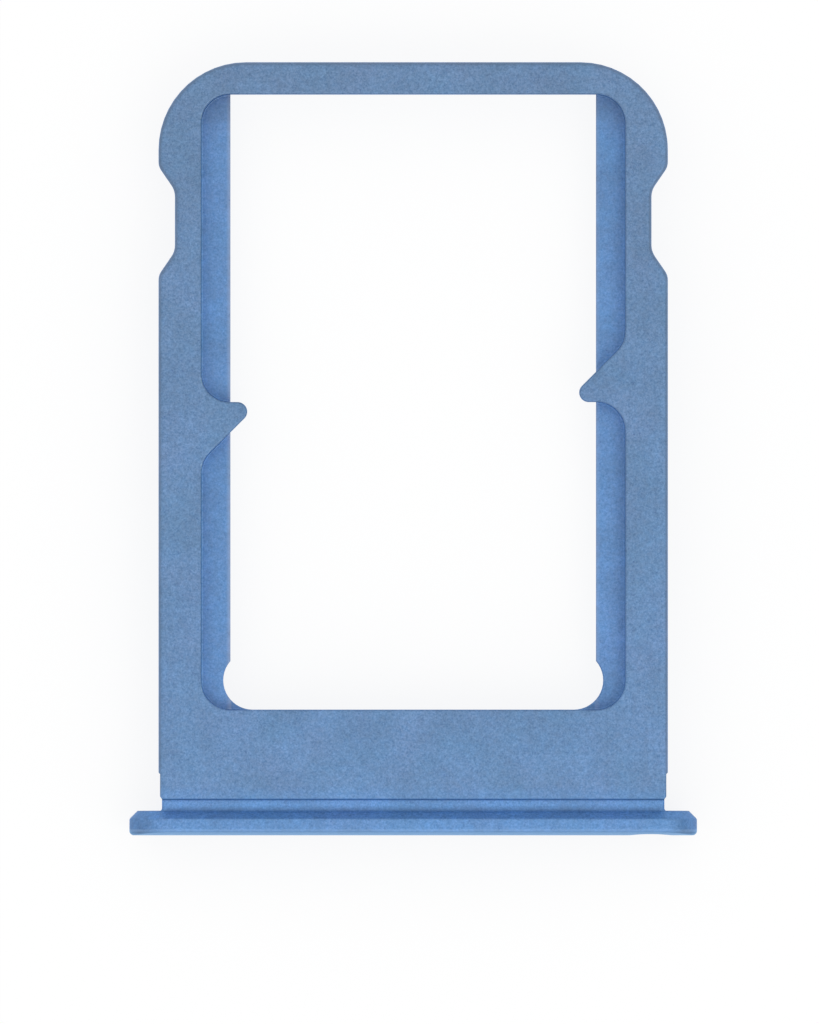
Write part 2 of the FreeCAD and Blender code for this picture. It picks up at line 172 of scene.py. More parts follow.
class TrayFinishSettings(bpy.types.PropertyGroup):
    """Colours and grain of the anodised finish, and the painted shade, light and highlights in
    its colour.
    """

    dye_deep: FloatVectorProperty(
        name="Dye, deep",
        description="Dyed oxide layer in the hollows of its grain",
        subtype="COLOR",
        min=0.0,
        max=1.0,
        default=(0.024, 0.161, 0.408),
    )
    dye_light: FloatVectorProperty(
        name="Dye, light",
        description="Dyed oxide layer on the tips of its grain",
        subtype="COLOR",
        min=0.0,
        max=1.0,
        default=(0.134, 0.322, 0.634),
    )
    blast_deep: FloatVectorProperty(
        name="Blasted face, deep",
        description="Greyer top of the frame, in the hollows of its grain",
        subtype="COLOR",
        min=0.0,
        max=1.0,
        default=(0.027, 0.123, 0.276),
    )
    blast_light: FloatVectorProperty(
        name="Blasted face, light",
        description="Greyer top of the frame, on the tips of its grain",
        subtype="COLOR",
        min=0.0,
        max=1.0,
        default=(0.156, 0.293, 0.507),
    )
    steep_tint: FloatVectorProperty(
        name="Tint of steep faces",
        description="Tint of the dye where the beads struck at a slant",
        subtype="COLOR",
        min=0.0,
        max=2.0,
        default=(0.88, 1.04, 1.12),
    )
    edge_colour: FloatVectorProperty(
        name="Rounded edge",
        description="Greyer dye along the frame's rounded edges",
        subtype="COLOR",
        min=0.0,
        max=1.0,
        default=(0.130, 0.215, 0.355),
    )
    rubbed_colour: FloatVectorProperty(
        name="Rubbed rim",
        description="Paler rim of the ledges, which the cards slide over",
        subtype="COLOR",
        min=0.0,
        max=1.0,
        default=(0.210, 0.320, 0.530),
    )
    # Painted reflection: the lighter rim of the head's face
    face_rim_painted_reflection: FloatVectorProperty(
        name="Front rim",
        description="Paler rim round the face of the head, which fingers rub",
        subtype="COLOR",
        min=0.0,
        max=1.0,
        default=(0.095, 0.203, 0.400),
    )
    # Painted shade: the darker middle of the head's face
    face_middle_painted_shade: FloatVectorProperty(
        name="Middle of the face",
        description="Deep dye along the middle of the head's face",
        subtype="COLOR",
        min=0.0,
        max=1.0,
        default=(0.009, 0.095, 0.309),
    )
    slant_colour: FloatVectorProperty(
        name="Cast at a slant",
        description="Cast of the metal where it is seen at a slant",
        subtype="COLOR",
        min=0.0,
        max=1.0,
        default=(0.32, 0.52, 0.84),
    )
    face_slant_colour: FloatVectorProperty(
        name="Cast of the face at a slant",
        description="Cast of the head's smoother face where it is seen at a slant",
        subtype="COLOR",
        min=0.0,
        max=1.0,
        default=(0.42, 0.70, 1.0),
    )
    # Painted highlight on the rounded edge round the head's face
    face_edge_painted_highlight: FloatVectorProperty(
        name="Edge of the face",
        description="Paler rounded edge round the face of the head, which fingers rub",
        subtype="COLOR",
        min=0.0,
        max=1.0,
        default=(0.230, 0.420, 0.700),
    )
    haze_colour: FloatVectorProperty(
        name="Haze",
        description="Faint haze of the oxide layer along the head's face",
        subtype="COLOR",
        min=0.0,
        max=1.0,
        default=(0.40, 0.68, 1.0),
    )
    # Painted shade on the round ends of the head
    head_end_painted_shade: FloatVectorProperty(
        name="Tint of the head's ends",
        description="Tint of the dye on the round ends of the head",
        subtype="COLOR",
        min=0.0,
        max=1.0,
        default=(0.96, 0.88, 0.85),
    )
    # Painted shade on the neck at the foot of the head's chamfer
    neck_foot_painted_shade: FloatVectorProperty(
        name="Tint of the neck's foot",
        description="Tint of the dye on the neck at the foot of the head's chamfer",
        subtype="COLOR",
        min=0.0,
        max=1.0,
        default=(0.78, 0.95, 1.0),
    )
    # Painted light on the bays' left wall, as if lit from the right
    left_wall_painted_light: FloatVectorProperty(
        name="Tint of the left wall",
        description="Tint of the dye on the bays' left wall, which the cards rub",
        subtype="COLOR",
        min=0.0,
        max=2.0,
        default=(1.65, 1.38, 1.12),
    )
    # Painted shade in the corner where the frame ends over the neck
    end_corner_painted_shade: FloatVectorProperty(
        name="Corner tint",
        description="Tint of the dye that gathered in the corner where the frame ends",
        subtype="COLOR",
        min=0.0,
        max=1.0,
        default=(0.17, 0.59, 0.71),
    )
    near_blasting: FloatProperty(
        name="Blasting at the near end",
        description="Share of the greyer look on the frame's top at its near end",
        subtype="FACTOR",
        min=0.0,
        max=1.0,
        default=0.68,
    )
    neck_blasting: FloatProperty(
        name="Blasting next to the neck",
        description="Share of the greyer look on the frame's top right next to the neck",
        subtype="FACTOR",
        min=0.0,
        max=1.0,
        default=0.45,
    )
    edge_wear: FloatProperty(
        name="Edge wear",
        description="Share of the greyer colour on the frame's rounded outer edges",
        subtype="FACTOR",
        min=0.0,
        max=1.0,
        default=0.8,
    )
    left_wear: FloatProperty(
        name="Wear of the left rim",
        description="Share of the paler colour on the rim of the left ledges",
        subtype="FACTOR",
        min=0.0,
        max=1.0,
        default=0.90,
    )
    right_wear: FloatProperty(
        name="Wear of the right rim",
        description="Share of the paler colour on the rim of the right ledges",
        subtype="FACTOR",
        min=0.0,
        max=1.0,
        default=0.42,
    )
    # Share of the painted highlight on the rounded edge round the head's face
    face_edge_highlight_share: FloatProperty(
        name="Wear of the face's edge",
        description="Share of the paler colour on the rounded edge round the head's face",
        subtype="FACTOR",
        min=0.0,
        max=1.0,
        default=0.42,
    )
    least_roughness: FloatProperty(
        name="Least roughness",
        description="Roughness in the hollows of the grain",
        subtype="FACTOR",
        min=0.0,
        max=1.0,
        default=0.50,
    )
    most_roughness: FloatProperty(
        name="Most roughness",
        description="Roughness on the tips of the grain",
        subtype="FACTOR",
        min=0.0,
        max=1.0,
        default=0.62,
    )
    face_smoothing: FloatProperty(
        name="Smoothing of the face",
        description="How much less rough the face of the head is",
        subtype="FACTOR",
        min=0.0,
        max=1.0,
        default=0.20,
    )
    clear_layer: FloatProperty(
        name="Clear layer",
        description="Share of the clear top of the oxide layer",
        subtype="FACTOR",
        min=0.0,
        max=1.0,
        default=0.45,
    )
    face_clear_layer: FloatProperty(
        name="Clear layer of the face",
        description="Share of the thinner clear layer on the face of the head",
        subtype="FACTOR",
        min=0.0,
        max=1.0,
        default=0.25,
    )
    clear_layer_roughness: FloatProperty(
        name="Roughness of the clear layer",
        description="Roughness of the clear top of the oxide layer",
        subtype="FACTOR",
        min=0.0,
        max=1.0,
        default=0.38,
    )
    clear_layer_index: FloatProperty(
        name="Index of the clear layer",
        description="Refractive index of the clear top of the oxide layer",
        min=1.0,
        default=2.3,
    )
    haze: FloatProperty(
        name="Haze on the face",
        description="Share of the faint haze along the head's face",
        subtype="FACTOR",
        min=0.0,
        max=1.0,
        default=0.70,
    )
    haze_roughness: FloatProperty(
        name="Spread of the haze",
        description="How far from the grazing angle the haze is seen",
        subtype="FACTOR",
        min=0.0,
        max=1.0,
        default=0.35,
    )
    stroke_size: FloatProperty(
        name="Stroke size",
        description="Length of the short crooked strokes between the dimples",
        unit="LENGTH",
        min=0.02 * MM,
        default=0.15 * MM,
    )
    stroke_tint: FloatVectorProperty(
        name="Stroke tint",
        description="Tint of the dye in the short crooked strokes",
        subtype="COLOR",
        min=0.0,
        max=1.0,
        default=(0.72, 0.80, 0.87),
    )
    pit_tint: FloatVectorProperty(
        name="Pit tint",
        description="Tint of the dye that gathered in the small pits",
        subtype="COLOR",
        min=0.0,
        max=1.0,
        default=(0.50, 0.68, 0.84),
    )
    grain_size: FloatProperty(
        name="Grain size",
        description="Distance between the finest dimples that the beads leave",
        unit="LENGTH",
        min=0.01 * MM,
        default=0.055 * MM,
    )
    mottle_size: FloatProperty(
        name="Mottle size",
        description="Size of the soft patches where the dye took a little more or less",
        unit="LENGTH",
        min=0.05 * MM,
        default=0.16 * MM,
    )
    cloud_size: FloatProperty(
        name="Cloud size",
        description="Size of the broad, faint changes of tone along the bars",
        unit="LENGTH",
        min=0.5 * MM,
        default=1.2 * MM,
    )
    drift_size: FloatProperty(
        name="Drift size",
        description="Size of the patches with a slightly different cast",
        unit="LENGTH",
        min=0.5 * MM,
        default=1.3 * MM,
    )
    pit_spacing: FloatProperty(
        name="Pit spacing",
        description="Mean distance between the small dark pits",
        unit="LENGTH",
        min=0.05 * MM,
        default=0.24 * MM,
    )
    dimple_depth: FloatProperty(
        name="Dimple depth",
        description="Depth of the finest dimples",
        unit="LENGTH",
        min=0.0,
        default=0.004 * MM,
    )


class TrayStudioSettings(bpy.types.PropertyGroup):
    """Sizes and levels of the studio."""

    camera_distance: FloatProperty(
        name="Camera distance",
        description="Height of the camera over the top of the frame",
        unit="LENGTH",
        min=0.03,
        default=1.0,
    )
    floor_radius: FloatProperty(
        name="Floor radius",
        description="Radius of the round floor",
        unit="LENGTH",
        min=0.1,
        default=3.0,
    )
    floor_colour: FloatVectorProperty(
        name="Floor colour",
        description="Colour of the floor",
        subtype="COLOR",
        min=0.0,
        max=1.0,
        default=(0.96, 0.96, 0.96),
    )
    floor_glow: FloatProperty(
        name="Floor glow",
        description="Share of plain white that the floor shows, so that its shadows stay faint",
        subtype="FACTOR",
        min=0.0,
        max=1.0,
        default=0.85,
    )
    sky_level: FloatProperty(
        name="Sky level",
        description="Brightness straight overhead",
        min=0.0,
        default=1.05,
    )
    wall_level: FloatProperty(
        name="Wall level",
        description="Brightness of the dim walls, from just over the horizon up",
        min=0.0,
        default=0.56,
    )
    horizon_level: FloatProperty(
        name="Horizon level",
        description="Brightness of the pale backdrop at the horizon",
        min=0.0,
        default=1.0,
    )
    high_level: FloatProperty(
        name="High lamp level",
        description="Radiance of the high lamp in front of the head",
        min=0.0,
        default=1.15,
    )
    low_level: FloatProperty(
        name="Low lamp level",
        description="Radiance of the low lamp in front of the head",
        min=0.0,
        default=0.5,
    )
    lamp_size: FloatProperty(
        name="Lamp size",
        description="Side of each square lamp",
        unit="LENGTH",
        min=0.01,
        default=0.20,
    )


def add_node(tree, kind, label, place, **values):
    """New node with a label and a place in the editor, and with some sockets set."""
    node = tree.nodes.new(kind)
    node.label = label
    node.location = place
    for name, value in values.items():
        node.inputs[name.replace("_", " ")].default_value = value
    return node


def add_math(tree, operation, label, place, first, second):
    """Math node that joins two values, each a socket or a number."""
    node = add_node(tree, "ShaderNodeMath", label, place)
    node.operation = operation
    for socket, value in zip(node.inputs, (first, second)):
        if isinstance(value, (int, float)):
            socket.default_value = value
        else:
            tree.links.new(value, socket)
    return node.outputs[0]


def add_noise(tree, label, place, coordinates, feature_size, detail, distortion=0.0):
    """Noise node with features of one size."""
    node = add_node(
        tree, "ShaderNodeTexNoise", label, place, Scale=1.0 / feature_size, Detail=detail,
        Roughness=NOISE_ROUGHNESS, Distortion=distortion,
    )
    tree.links.new(coordinates, node.inputs["Vector"])
    return node


def add_ramp(tree, label, place, value, low, high, to_low, to_high, smooth=True):
    """A value mapped from one range to another and held at both ends."""
    node = add_node(tree, "ShaderNodeMapRange", label, place)
    node.interpolation_type = "SMOOTHSTEP" if smooth else "LINEAR"
    node.clamp = True
    tree.links.new(value, node.inputs["Value"])
    node.inputs["From Min"].default_value = low
    node.inputs["From Max"].default_value = high
    node.inputs["To Min"].default_value = to_low
    node.inputs["To Max"].default_value = to_high
    return node.outputs["Result"]


def add_mix(tree, label, place, factor, first, second, blend="MIX"):
    """Colour mix; the factor and each colour are a socket or a constant."""
    node = tree.nodes.new("ShaderNodeMix")
    node.data_type = "RGBA"
    node.blend_type = blend
    node.label = label
    node.location = place
    sockets = [node.inputs[0], node.inputs[6], node.inputs[7]]
    for socket, value in zip(sockets, (factor, first, second)):
        if isinstance(value, bpy.types.NodeSocket):
            tree.links.new(value, socket)
        else:
            socket.default_value = value
    return node.outputs[2]


def opaque(colour):
    """An RGB colour with full alpha."""
    return (*colour, 1.0)


def add_tint(tree, label, place, colour, factor, tint):
    """Colour multiplied by a tint, as far as the factor says."""
    return add_mix(tree, label, place, factor, colour, opaque(tint), "MULTIPLY")


def add_product(tree, label, place, *factors):
    """Product of several values, each a socket or a number."""
    product = factors[0]
    for step, factor in enumerate(factors[1:]):
        spot = (place[0] + NODE_STEP * step, place[1])
        product = add_math(tree, "MULTIPLY", label, spot, product, factor)
    return product


def add_band(tree, label, place, value, low, high, soft):
    """1 between two limits, and 0 from a little outside them."""
    x, y = place
    rise = add_ramp(tree, label, place, value, low - soft, low, 0.0, 1.0)
    fall = add_ramp(
        tree, label, (x, y - NODE_DROP), value, high, high + soft, 1.0, 0.0
    )
    return add_product(tree, label, (x + NODE_STEP, y), rise, fall)


class TrayPlace:
    """Where a point of the tray's surface is, and which way it faces."""

    def __init__(self, tree):
        self.low, self.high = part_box(TRAY)
        self.point = add_node(tree, "ShaderNodeTexCoord", "Place", (-2600, 0)).outputs["Object"]
        split = add_node(tree, "ShaderNodeSeparateXYZ", "Place, split", (-2400, -600))
        tree.links.new(self.point, split.inputs["Vector"])
        surface = add_node(tree, "ShaderNodeNewGeometry", "Surface", (-2600, -900))
        facing = add_node(tree, "ShaderNodeSeparateXYZ", "Facing", (-2400, -900))
        tree.links.new(surface.outputs["Normal"], facing.inputs["Vector"])
        self.sideways = split.outputs["X"]
        self.across = add_math(
            tree, "ABSOLUTE", "From the midline", (-2200, -500), split.outputs["X"], 0.0
        )
        self.along = add_math(
            tree, "SUBTRACT", "From the face of the head", (-2200, -650),
            split.outputs["Y"], self.low.y,
        )
        self.depth = add_math(
            tree, "SUBTRACT", "Under the top of the head", (-2200, -800),
            self.high.z, split.outputs["Z"],
        )
        self.level = add_math(
            tree, "ABSOLUTE", "Level face", (-2200, -950), facing.outputs["Z"], 0.0
        )


def frame_top_share(tree, place):
    """1 on the top of the frame with its rounded edges, and 0 elsewhere."""
    high_up = add_ramp(
        tree, "High up", (-1900, -800), place.depth, *FRAME_TOP_BORDER, 0.0, 1.0
    )
    behind_head = add_ramp(
        tree, "Behind the head", (-1900, -1000), place.along, *FRAME_NEAR_BORDER, 0.0, 1.0
    )
    return add_product(tree, "Top of the frame", (-1700, -900), high_up, behind_head)


def ledge_share(tree, place):
    """1 on the ledges that carry the cards and at their walls' feet, and 0 elsewhere."""
    height = add_ramp(
        tree, "Up the walls", (-1900, -1200), place.depth, *LEDGE_WALL_BORDER, 0.0, 1.0
    )
    over = add_ramp(
        tree, "Not under the ledge", (-1900, -1260), place.depth,
        *UNDER_LEDGE_BORDER, 1.0, 0.0,
    )
    beside = add_ramp(
        tree, "Between the side walls", (-1900, -1320), place.across,
        *BAY_SIDE_BORDER, 1.0, 0.0,
    )
    between = add_band(
        tree, "Between the bars", (-1700, -1320), place.along, *BAY_ENDS, BAY_END_SOFTNESS
    )
    return add_product(tree, "On a ledge", (-1500, -1200), height, over, beside, between)


def ledge_painted_shade(tree, place, on_ledge):
    """Painted shade on the ledges, darker towards the walls of the bays."""
    near = add_ramp(
        tree, "Near end of the bays", (-1900, -1400), place.along,
        *NEAR_WALL_SHADE, NEAR_WALL_PAINTED_SHADE, 1.0,
    )
    far = add_ramp(
        tree, "Far end of the bays", (-1900, -1600), place.along,
        *FAR_WALL_SHADE, 1.0, FAR_WALL_PAINTED_SHADE,
    )
    side = add_ramp(
        tree, "Side wall", (-1900, -1800), place.across,
        *SIDE_WALL_SHADE, 1.0, SIDE_WALL_PAINTED_SHADE,
    )
    tone = add_product(
        tree, "Tone on a ledge", (-1700, -1600), near, far, side, LEDGE_TONE
    )
    lost = add_math(tree, "SUBTRACT", "Lost on a ledge", (-1100, -1600), 1.0, tone)
    lost = add_math(tree, "MULTIPLY", "Lost there only", (-900, -1600), lost, on_ledge)
    return add_math(tree, "SUBTRACT", "Ledge tone", (-700, -1600), 1.0, lost)


def rubbed_rim_share(tree, place, on_ledge, settings):
    """How far the rim of the ledges is rubbed pale, most on the left."""
    rubbed = add_ramp(
        tree, "Window's rim", (-1100, -1100), place.across, *RUBBED_RIM, 1.0, 0.0
    )
    worn_side = add_ramp(
        tree, "More worn on the left", (-1300, -1130), place.sideways,
        -WINDOW_HALF, WINDOW_HALF, settings.left_wear, settings.right_wear, smooth=False,
    )
    window = add_ramp(
        tree, "Not past the window", (-1100, -1160), place.across, *WINDOW_BORDER, 0.0, 1.0
    )
    return add_product(
        tree, "Rubbed rim", (-900, -1100), rubbed, worn_side, window, on_ledge
    )


def left_wall_share(tree, place):
    """1 on the bays' left wall, and 0 elsewhere."""
    wall = add_band(
        tree, "Side wall's line", (-1900, -4200), place.across,
        *SIDE_WALL, SIDE_WALL_SOFTNESS,
    )
    between = add_band(
        tree, "Along the bays", (-1900, -4350), place.along,
        *STRAIGHT_WALL, STRAIGHT_WALL_SOFTNESS,
    )
    over = add_ramp(
        tree, "Over the ledge", (-1900, -4500), place.depth, *UNDER_LEDGE_BORDER, 1.0, 0.0
    )
    left = add_ramp(
        tree, "Left side", (-1900, -4600), place.sideways, *LEFT_BORDER, 1.0, 0.0
    )
    sloping = add_ramp(
        tree, "Not level", (-1700, -4600), place.level, *SLOPING_BORDER, 0.0, 1.0
    )
    return add_product(tree, "Left wall", (-1500, -4200), wall, between, over, left, sloping)


def head_end_share(tree, place):
    """1 at the round ends of the head, and 0 elsewhere."""
    outwards = add_ramp(
        tree, "Round ends", (-1900, -2000), place.across,
        HEAD_ROUND_START, place.high.x - HEAD_END_WIDTH, 0.0, 1.0,
    )
    on_head = add_ramp(
        tree, "On the head", (-1900, -2100), place.along, *HEAD_BACK_BORDER, 1.0, 0.0
    )
    return add_product(tree, "Ends of the head", (-1500, -2000), outwards, on_head)


def end_corner_share(tree, place):
    """1 in the sharp corner where the frame ends over the neck, and 0 elsewhere."""
    offset = add_math(
        tree, "SUBTRACT", "From the frame's end", (-1900, -2200), place.along, END_CORNER
    )
    offset = add_math(tree, "ABSOLUTE", "Either side", (-1700, -2200), offset, 0.0)
    return add_ramp(
        tree, "In the end corner", (-1500, -2200), offset, *END_CORNER_WIDTH, 1.0, 0.0
    )


def neck_foot_share(tree, place):
    """1 on the neck at the foot of the head's chamfer, and 0 elsewhere."""
    foot = add_ramp(
        tree, "Foot of the neck", (-1900, -2500), place.along, *NECK_FOOT, 1.0, 0.0
    )
    behind = add_ramp(
        tree, "Past the chamfer", (-1900, -2900), place.along, *NECK_BORDER, 0.0, 1.0
    )
    return add_product(tree, "At the neck's foot", (-1500, -2500), foot, behind)


def neck_painted_shade(tree, place):
    """Painted shade on the neck at the foot of the head's chamfer, rising to a slightly lighter
    tone over the rest of the neck.
    """
    rise = add_ramp(
        tree, "Up the neck", (-1900, -2400), place.along, *NECK_RISE, *NECK_PAINTED_SHADE_TONES
    )
    ahead = add_ramp(
        tree, "Ahead of the frame", (-1900, -2600), place.along, *NECK_END_BORDER, 1.0, 0.0
    )
    behind = add_ramp(
        tree, "Behind the chamfer", (-1900, -2800), place.along, *NECK_BORDER, 0.0, 1.0
    )
    change = add_math(tree, "SUBTRACT", "Change of tone", (-1700, -2400), rise, 1.0)
    change = add_product(tree, "On the neck only", (-1500, -2400), change, ahead, behind)
    return add_math(tree, "ADD", "Neck tone", (-1100, -2400), change, 1.0)


def outer_edge_share(tree, place, on_top, steep, wear):
    """How far the frame's rounded edges outside the bays are worn."""
    sideways = add_ramp(
        tree, "Outside the bays", (-1900, -3000), place.across, *RAIL_BORDER, 0.0, 1.0
    )
    farther = add_ramp(
        tree, "Past the bays", (-1900, -3200), place.along, *FAR_BAR_BORDER, 0.0, 1.0
    )
    outside = add_math(tree, "MAXIMUM", "Outer edges", (-1700, -3100), sideways, farther)
    return add_product(
        tree, "Outer rounded edges", (-1500, -3100), outside, on_top, steep, wear
    )


def face_radius(tree, place):
    """0 on the middle line of the head's face, and 1 at its rim, all round."""
    radius = (place.high.z - place.low.z) / 2
    straight_half = place.high.x - radius
    sideways = add_math(
        tree, "SUBTRACT", "Past the straight part", (-1900, -3900), place.across, straight_half
    )
    sideways = add_math(tree, "MAXIMUM", "Round end", (-1700, -3900), sideways, 0.0)
    upwards = add_math(
        tree, "SUBTRACT", "Over the middle line", (-1900, -4000), place.depth, radius
    )
    both = add_node(tree, "ShaderNodeCombineXYZ", "Away from the middle", (-1500, -3900))
    tree.links.new(sideways, both.inputs["X"])
    tree.links.new(upwards, both.inputs["Y"])
    length = add_node(tree, "ShaderNodeVectorMath", "Distance", (-1300, -3900))
    length.operation = "LENGTH"
    tree.links.new(both.outputs["Vector"], length.inputs[0])
    return add_math(
        tree, "DIVIDE", "Share of the way out", (-1100, -3900), length.outputs["Value"], radius
    )


def bead_strokes(tree, place, settings):
    """1 in the short crooked strokes between the dimples, and 0 elsewhere."""
    winding = add_noise(
        tree, "Winding lines", (-1900, -3500), place.point, settings.stroke_size,
        detail=1.0, distortion=0.6,
    ).outputs["Fac"]
    offset = add_math(
        tree, "SUBTRACT", "From the line", (-1700, -3500), winding, NOISE_MIDDLE
    )
    offset = add_math(tree, "ABSOLUTE", "Either side", (-1500, -3500), offset, 0.0)
    line = add_ramp(tree, "Line", (-1300, -3500), offset, *STROKE_STRETCH, 1.0, 0.0)
    breaks = add_noise(
        tree, "Breaks", (-1900, -3700), place.point,
        BREAK_SIZE * settings.stroke_size, detail=2.0,
    ).outputs["Fac"]
    kept = add_ramp(
        tree, "Kept stretches", (-1700, -3700), breaks, *BREAK_STRETCH, 0.0, 1.0
    )
    return add_product(tree, "Strokes", (-1100, -3600), line, kept)


def pit_share(tree, place, settings):
    """1 in the small pits, which only some cells have, and 0 elsewhere."""
    cells = add_node(tree, "ShaderNodeTexVoronoi", "Pit cells", (-1900, -50))
    cells.inputs["Scale"].default_value = 1.0 / settings.pit_spacing
    tree.links.new(place.point, cells.inputs["Vector"])
    pits = add_ramp(
        tree, "Pit spots", (-1500, 0), cells.outputs["Distance"], *PIT_STRETCH, 1.0, 0.0
    )
    chance = add_node(tree, "ShaderNodeSeparateColor", "Chance", (-1700, -150))
    tree.links.new(cells.outputs["Color"], chance.inputs["Color"])
    pitted = add_ramp(
        tree, "Pitted cells", (-1500, -200), chance.outputs["Red"], *PITTED_STRETCH, 0.0, 1.0
    )
    return add_product(tree, "Pits", (-1300, -100), pits, pitted)


def blasted_colour(tree, place, settings, grain):
    """Greyer blasted top of the frame over the dyed rest, both with their grain."""
    grain_share = add_ramp(
        tree, "Grain share", (-1500, 500), grain, *GRAIN_STRETCH, 0.0, 1.0, smooth=False
    )
    dye = add_mix(
        tree, "Dye", (-1100, 700), grain_share,
        opaque(settings.dye_deep), opaque(settings.dye_light),
    )
    steep = add_ramp(
        tree, "Steep face", (-1500, -950), place.level, *STEEP_BORDER, 0.0, 1.0
    )
    dye = add_tint(tree, "Purer on steep faces", (-900, 700), dye, steep, settings.steep_tint)
    blast = add_mix(
        tree, "Blasted face", (-1100, 450), grain_share,
        opaque(settings.blast_deep), opaque(settings.blast_light),
    )
    on_top = frame_top_share(tree, place)
    far_share = add_ramp(
        tree, "Towards the far end", (-1900, -300), place.along,
        FRAME_START, place.high.y - place.low.y, settings.near_blasting, 1.0, smooth=False,
    )
    near_end = add_ramp(
        tree, "Next to the neck", (-1900, -450), place.along,
        *NEAR_END_BORDER, settings.neck_blasting, 1.0,
    )
    blasted = add_product(tree, "Blasted share", (-1400, -500), on_top, far_share, near_end)
    colour = add_mix(tree, "Colour", (-700, 600), blasted, dye, blast)
    rim = outer_edge_share(tree, place, on_top, steep, settings.edge_wear)
    return add_mix(
        tree, "Worn edge", (-500, 600), rim, colour, opaque(settings.edge_colour)
    )


def drifted_colour(tree, place, settings, colour):
    """Colour with a slow drift from violet to cyan, and from more to less blue."""
    drift = add_noise(
        tree, "Dye drift", (-1900, 750), place.point, settings.drift_size, detail=4.0
    ).outputs["Color"]
    cast = add_node(tree, "ShaderNodeVectorMath", "Cast", (-1500, 750))
    cast.operation = "MULTIPLY_ADD"
    tree.links.new(drift, cast.inputs[0])
    cast.inputs[1].default_value = DRIFT_SPAN
    cast.inputs[2].default_value = DRIFT_LOW
    return add_mix(
        tree, "Drifted dye", (-100, 600), 1.0, colour, cast.outputs["Vector"], "MULTIPLY"
    )


def colour_with_face(tree, place, settings, colour, on_face):
    """Colour with the head's face: painted shade along its middle and painted reflection
    towards its rim, and a painted highlight on the face's rounded edge.
    """
    outwards = face_radius(tree, place)
    towards_rim = add_ramp(
        tree, "Towards the rim", (-700, -1350), outwards, *FACE_SHADING, 0.0, 1.0
    )
    face = add_mix(
        tree, "Face colour", (-500, 900), towards_rim,
        opaque(settings.face_middle_painted_shade), opaque(settings.face_rim_painted_reflection),
    )
    colour = add_mix(tree, "With the face", (400, 800), on_face, colour, face)
    # Painted highlight on the rounded edge round the head's face
    edge = add_band(
        tree, "Rounded edge of the face", (200, 1200), place.along,
        *FACE_EDGE, FACE_EDGE_SOFTNESS,
    )
    edge = add_product(tree, "Pale edge", (500, 1200), edge, settings.face_edge_highlight_share)
    return add_mix(
        tree, "With the pale edge", (480, 800), edge, colour, opaque(settings.face_edge_painted_highlight)
    )


def dye_tone(tree, place, settings, on_ledge):
    """Tone of the dye: soft patches, broad clouds, a fade, and painted shade on the ledges and
    neck.
    """
    mottle = add_noise(
        tree, "Mottle", (-1900, 250), place.point, settings.mottle_size, detail=3.0
    ).outputs["Fac"]
    cloud = add_noise(
        tree, "Cloud", (-1900, 0), place.point, settings.cloud_size, detail=3.0
    ).outputs["Fac"]
    mottle_tone = add_ramp(
        tree, "Mottle tone", (-1500, 250), mottle, *MOTTLE_STRETCH, *MOTTLE_TONES,
        smooth=False,
    )
    cloud_tone = add_ramp(
        tree, "Cloud tone", (-1500, 120), cloud, *CLOUD_STRETCH, *CLOUD_TONES, smooth=False
    )
    fade = add_ramp(
        tree, "Fade to the far end", (-1500, -330), place.along,
        0.0, place.high.y - place.low.y, *FADE_TONES, smooth=False,
    )
    return add_product(
        tree, "Tone", (-700, 200), mottle_tone, cloud_tone, fade,
        ledge_painted_shade(tree, place, on_ledge), neck_painted_shade(tree, place),
    )


def dye_colour(tree, place, settings, grain, on_face):
    """Colour of the dyed oxide layer over the whole tray, with painted shade, light and
    highlights.
    """
    colour = blasted_colour(tree, place, settings, grain)
    on_ledge = ledge_share(tree, place)
    rubbed = rubbed_rim_share(tree, place, on_ledge, settings)
    colour = add_mix(
        tree, "Rubbed ledge", (-300, 600), rubbed, colour, opaque(settings.rubbed_colour)
    )
    colour = drifted_colour(tree, place, settings, colour)
    pits = pit_share(tree, place, settings)
    colour = add_tint(tree, "Pitted", (100, 600), colour, pits, settings.pit_tint)
    strokes = bead_strokes(tree, place, settings)
    colour = add_tint(tree, "Stroked", (250, 800), colour, strokes, settings.stroke_tint)
    colour = colour_with_face(tree, place, settings, colour, on_face)
    # Painted shade on the round ends of the head
    ends = head_end_share(tree, place)
    colour = add_tint(tree, "Ends of the head", (520, 900), colour, ends, settings.head_end_painted_shade)
    # Painted shade on the neck at the foot of the head's chamfer
    foot = neck_foot_share(tree, place)
    colour = add_tint(tree, "Foot of the neck", (535, 750), colour, foot, settings.neck_foot_painted_shade)
    # Painted light on the bays' left wall, as if lit from the right
    left_wall = left_wall_share(tree, place)
    colour = add_tint(tree, "Left wall", (540, 1000), colour, left_wall, settings.left_wall_painted_light)
    # Painted shade in the corner where the frame ends over the neck
    corner = end_corner_share(tree, place)
    colour = add_tint(tree, "End corner", (550, 600), colour, corner, settings.end_corner_painted_shade)
    toned = add_node(tree, "ShaderNodeVectorMath", "Toned dye", (700, 500))
    toned.operation = "SCALE"
    tree.links.new(colour, toned.inputs[0])
    tone = dye_tone(tree, place, settings, on_ledge)
    tree.links.new(tone, toned.inputs["Scale"])
    return toned.outputs["Vector"]


